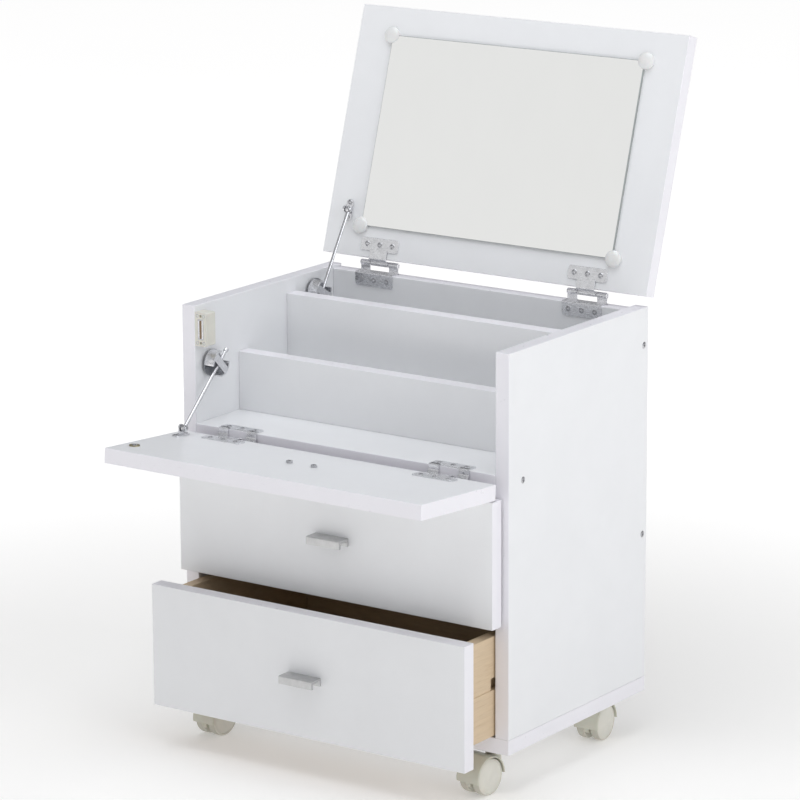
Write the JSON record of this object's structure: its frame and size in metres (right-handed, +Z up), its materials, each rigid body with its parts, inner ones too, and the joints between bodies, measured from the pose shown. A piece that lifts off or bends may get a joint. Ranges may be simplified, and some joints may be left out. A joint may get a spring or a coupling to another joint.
{
  "type": "vanity table",
  "caption": "Low mobile vanity cabinet with a lift-up mirror lid, a drop-front flap, two drawers, divided top compartments and swivel casters.",
  "frame": {"origin": "on the floor under the middle of the vanity as it stands open, lid and flap included", "axes": "+X to the right of a person sitting in front, +Y to the back, +Z up"},
  "size_m": [0.405, 0.4804, 0.7222],
  "materials": {
    "melamine": "satin white melamine facing",
    "steel": "satin",
    "dark_steel": "dark satin",
    "mirror": "polished",
    "white_plastic": "gloss",
    "ivory_plastic": "satin",
    "brass": "satin",
    "pine": "clear lacquered"
  },
  "bodies": {
    "carcass": {"side_panel_left": "melamine", "side_panel_right": "melamine", "bottom_board": "melamine", "back_panel": "melamine", "middle_shelf": "melamine", "front_divider": "melamine", "rear_divider": "melamine", "assembly_screws": "steel", "wood_screws": "steel", "drawer_runners": "pine", "lid_hinge_plates": "steel", "flap_hinge_plates": "steel", "hinge_pins": "steel", "magnetic_catch": "ivory_plastic", "catch_magnet": "steel", "stay_pivots": "steel", "caster_plates": "steel"},
    "lid": {"lid": "melamine", "mirror": "mirror", "mirror_clips": "white_plastic", "lid_hinge_leaves": "steel", "lid_screws": "steel", "lid_stay_bracket": "steel"},
    "flap": {"flap": "melamine", "flap_hinge_leaves": "steel", "flap_screws": "steel", "striker_plate": "brass", "flap_pull": "steel", "flap_pull_screws": "steel", "flap_stay_bracket": "steel"},
    "lid_stay_rod": {"lid_stay_rod": "steel"},
    "flap_stay_rod": {"flap_stay_rod": "steel"},
    "lid_stay_cup": {"lid_stay_cup": "dark_steel"},
    "flap_stay_cup": {"flap_stay_cup": "dark_steel"},
    "upper_drawer": {"upper_drawer_front": "melamine", "upper_drawer_side_left": "pine", "upper_drawer_side_right": "pine", "upper_drawer_back": "pine", "upper_drawer_bottom": "pine", "upper_drawer_pull": "steel", "upper_drawer_pull_screws": "steel"},
    "lower_drawer": {"lower_drawer_front": "melamine", "lower_drawer_side_left": "pine", "lower_drawer_side_right": "pine", "lower_drawer_back": "pine", "lower_drawer_bottom": "pine", "lower_drawer_pull": "steel", "lower_drawer_pull_screws": "steel"},
    "caster_front_left": {"caster_hood_front_left": "ivory_plastic", "caster_axle_front_left": "steel"},
    "caster_wheels_front_left": {"caster_wheels_front_left": "ivory_plastic"},
    "caster_front_right": {"caster_hood_front_right": "ivory_plastic", "caster_axle_front_right": "steel"},
    "caster_wheels_front_right": {"caster_wheels_front_right": "ivory_plastic"},
    "caster_rear_left": {"caster_hood_rear_left": "ivory_plastic", "caster_axle_rear_left": "steel"},
    "caster_wheels_rear_left": {"caster_wheels_rear_left": "ivory_plastic"},
    "caster_rear_right": {"caster_hood_rear_right": "ivory_plastic", "caster_axle_rear_right": "steel"},
    "caster_wheels_rear_right": {"caster_wheels_rear_right": "ivory_plastic"}
  },
  "joints": [
    {"name": "lid_hinge", "type": "hinge", "parent": "carcass", "child": "lid", "pos_m": [0, 0.1499, 0.4601], "axis": [1, 0, 0], "range_deg": [0, 107.2]},
    {"name": "flap_hinge", "type": "hinge", "parent": "carcass", "child": "flap", "pos_m": [0, -0.1069, 0.3209], "axis": [-1, 0, 0], "range_deg": [0, 86.1]},
    {"name": "upper_drawer_slide", "type": "slide", "parent": "carcass", "child": "upper_drawer", "axis": [0, -1, 0], "range_m": [0, 0.047]},
    {"name": "lower_drawer_slide", "type": "slide", "parent": "carcass", "child": "lower_drawer", "axis": [0, -1, 0], "range_m": [-0.0486, 0.1114]},
    {"name": "lid_stay_rod_pivot", "type": "hinge", "parent": "lid", "child": "lid_stay_rod", "pos_m": [-0.172, 0.1519, 0.51391], "axis": [1, 0, 0], "range_deg": [-60, 5]},
    {"name": "lid_stay_swivel", "type": "hinge", "parent": "carcass", "child": "lid_stay_cup", "pos_m": [-0.172, 0.102, 0.433], "axis": [1, 0, 0], "range_deg": [-5, 60]},
    {"name": "flap_stay_rod_pivot", "type": "hinge", "parent": "flap", "child": "flap_stay_rod", "pos_m": [-0.172, -0.13601, 0.33491], "axis": [-1, 0, 0], "range_deg": [-105, 5]},
    {"name": "flap_stay_swivel", "type": "hinge", "parent": "carcass", "child": "flap_stay_cup", "pos_m": [-0.172, -0.077, 0.391], "axis": [-1, 0, 0], "range_deg": [-20, 5]},
    {"name": "caster_swivel_front_left", "type": "hinge", "parent": "carcass", "child": "caster_front_left", "pos_m": [-0.166, -0.077, 0.038], "axis": [0, 0, 1], "continuous": true},
    {"name": "wheel_spin_front_left", "type": "hinge", "parent": "caster_front_left", "child": "caster_wheels_front_left", "pos_m": [-0.16705, -0.09697, 0.019], "axis": [0.9986, -0.0523, 0], "continuous": true},
    {"name": "caster_swivel_front_right", "type": "hinge", "parent": "carcass", "child": "caster_front_right", "pos_m": [0.166, -0.077, 0.038], "axis": [0, 0, 1], "continuous": true},
    {"name": "wheel_spin_front_right", "type": "hinge", "parent": "caster_front_right", "child": "caster_wheels_front_right", "pos_m": [0.16426, -0.09692, 0.019], "axis": [0.9962, -0.0872, 0], "continuous": true},
    {"name": "caster_swivel_rear_left", "type": "hinge", "parent": "carcass", "child": "caster_rear_left", "pos_m": [-0.166, 0.131, 0.038], "axis": [0, 0, 1], "continuous": true},
    {"name": "wheel_spin_rear_left", "type": "hinge", "parent": "caster_rear_left", "child": "caster_wheels_rear_left", "pos_m": [-0.16495, 0.11103, 0.019], "axis": [0.9986, 0.0523, 0], "continuous": true},
    {"name": "caster_swivel_rear_right", "type": "hinge", "parent": "carcass", "child": "caster_rear_right", "pos_m": [0.166, 0.131, 0.038], "axis": [0, 0, 1], "continuous": true},
    {"name": "wheel_spin_rear_right", "type": "hinge", "parent": "caster_rear_right", "child": "caster_wheels_rear_right", "pos_m": [0.1674, 0.11105, 0.019], "axis": [0.9976, 0.0698, 0], "continuous": true}
  ],
  "couplings": [
    {"joint": "lid_stay_rod_pivot", "follows": "lid_hinge", "ratio": -0.526},
    {"joint": "lid_stay_swivel", "follows": "lid_hinge", "ratio": 0.474},
    {"joint": "flap_stay_rod_pivot", "follows": "flap_hinge", "ratio": -1.1517},
    {"joint": "flap_stay_swivel", "follows": "flap_hinge", "ratio": -0.1517}
  ]
}
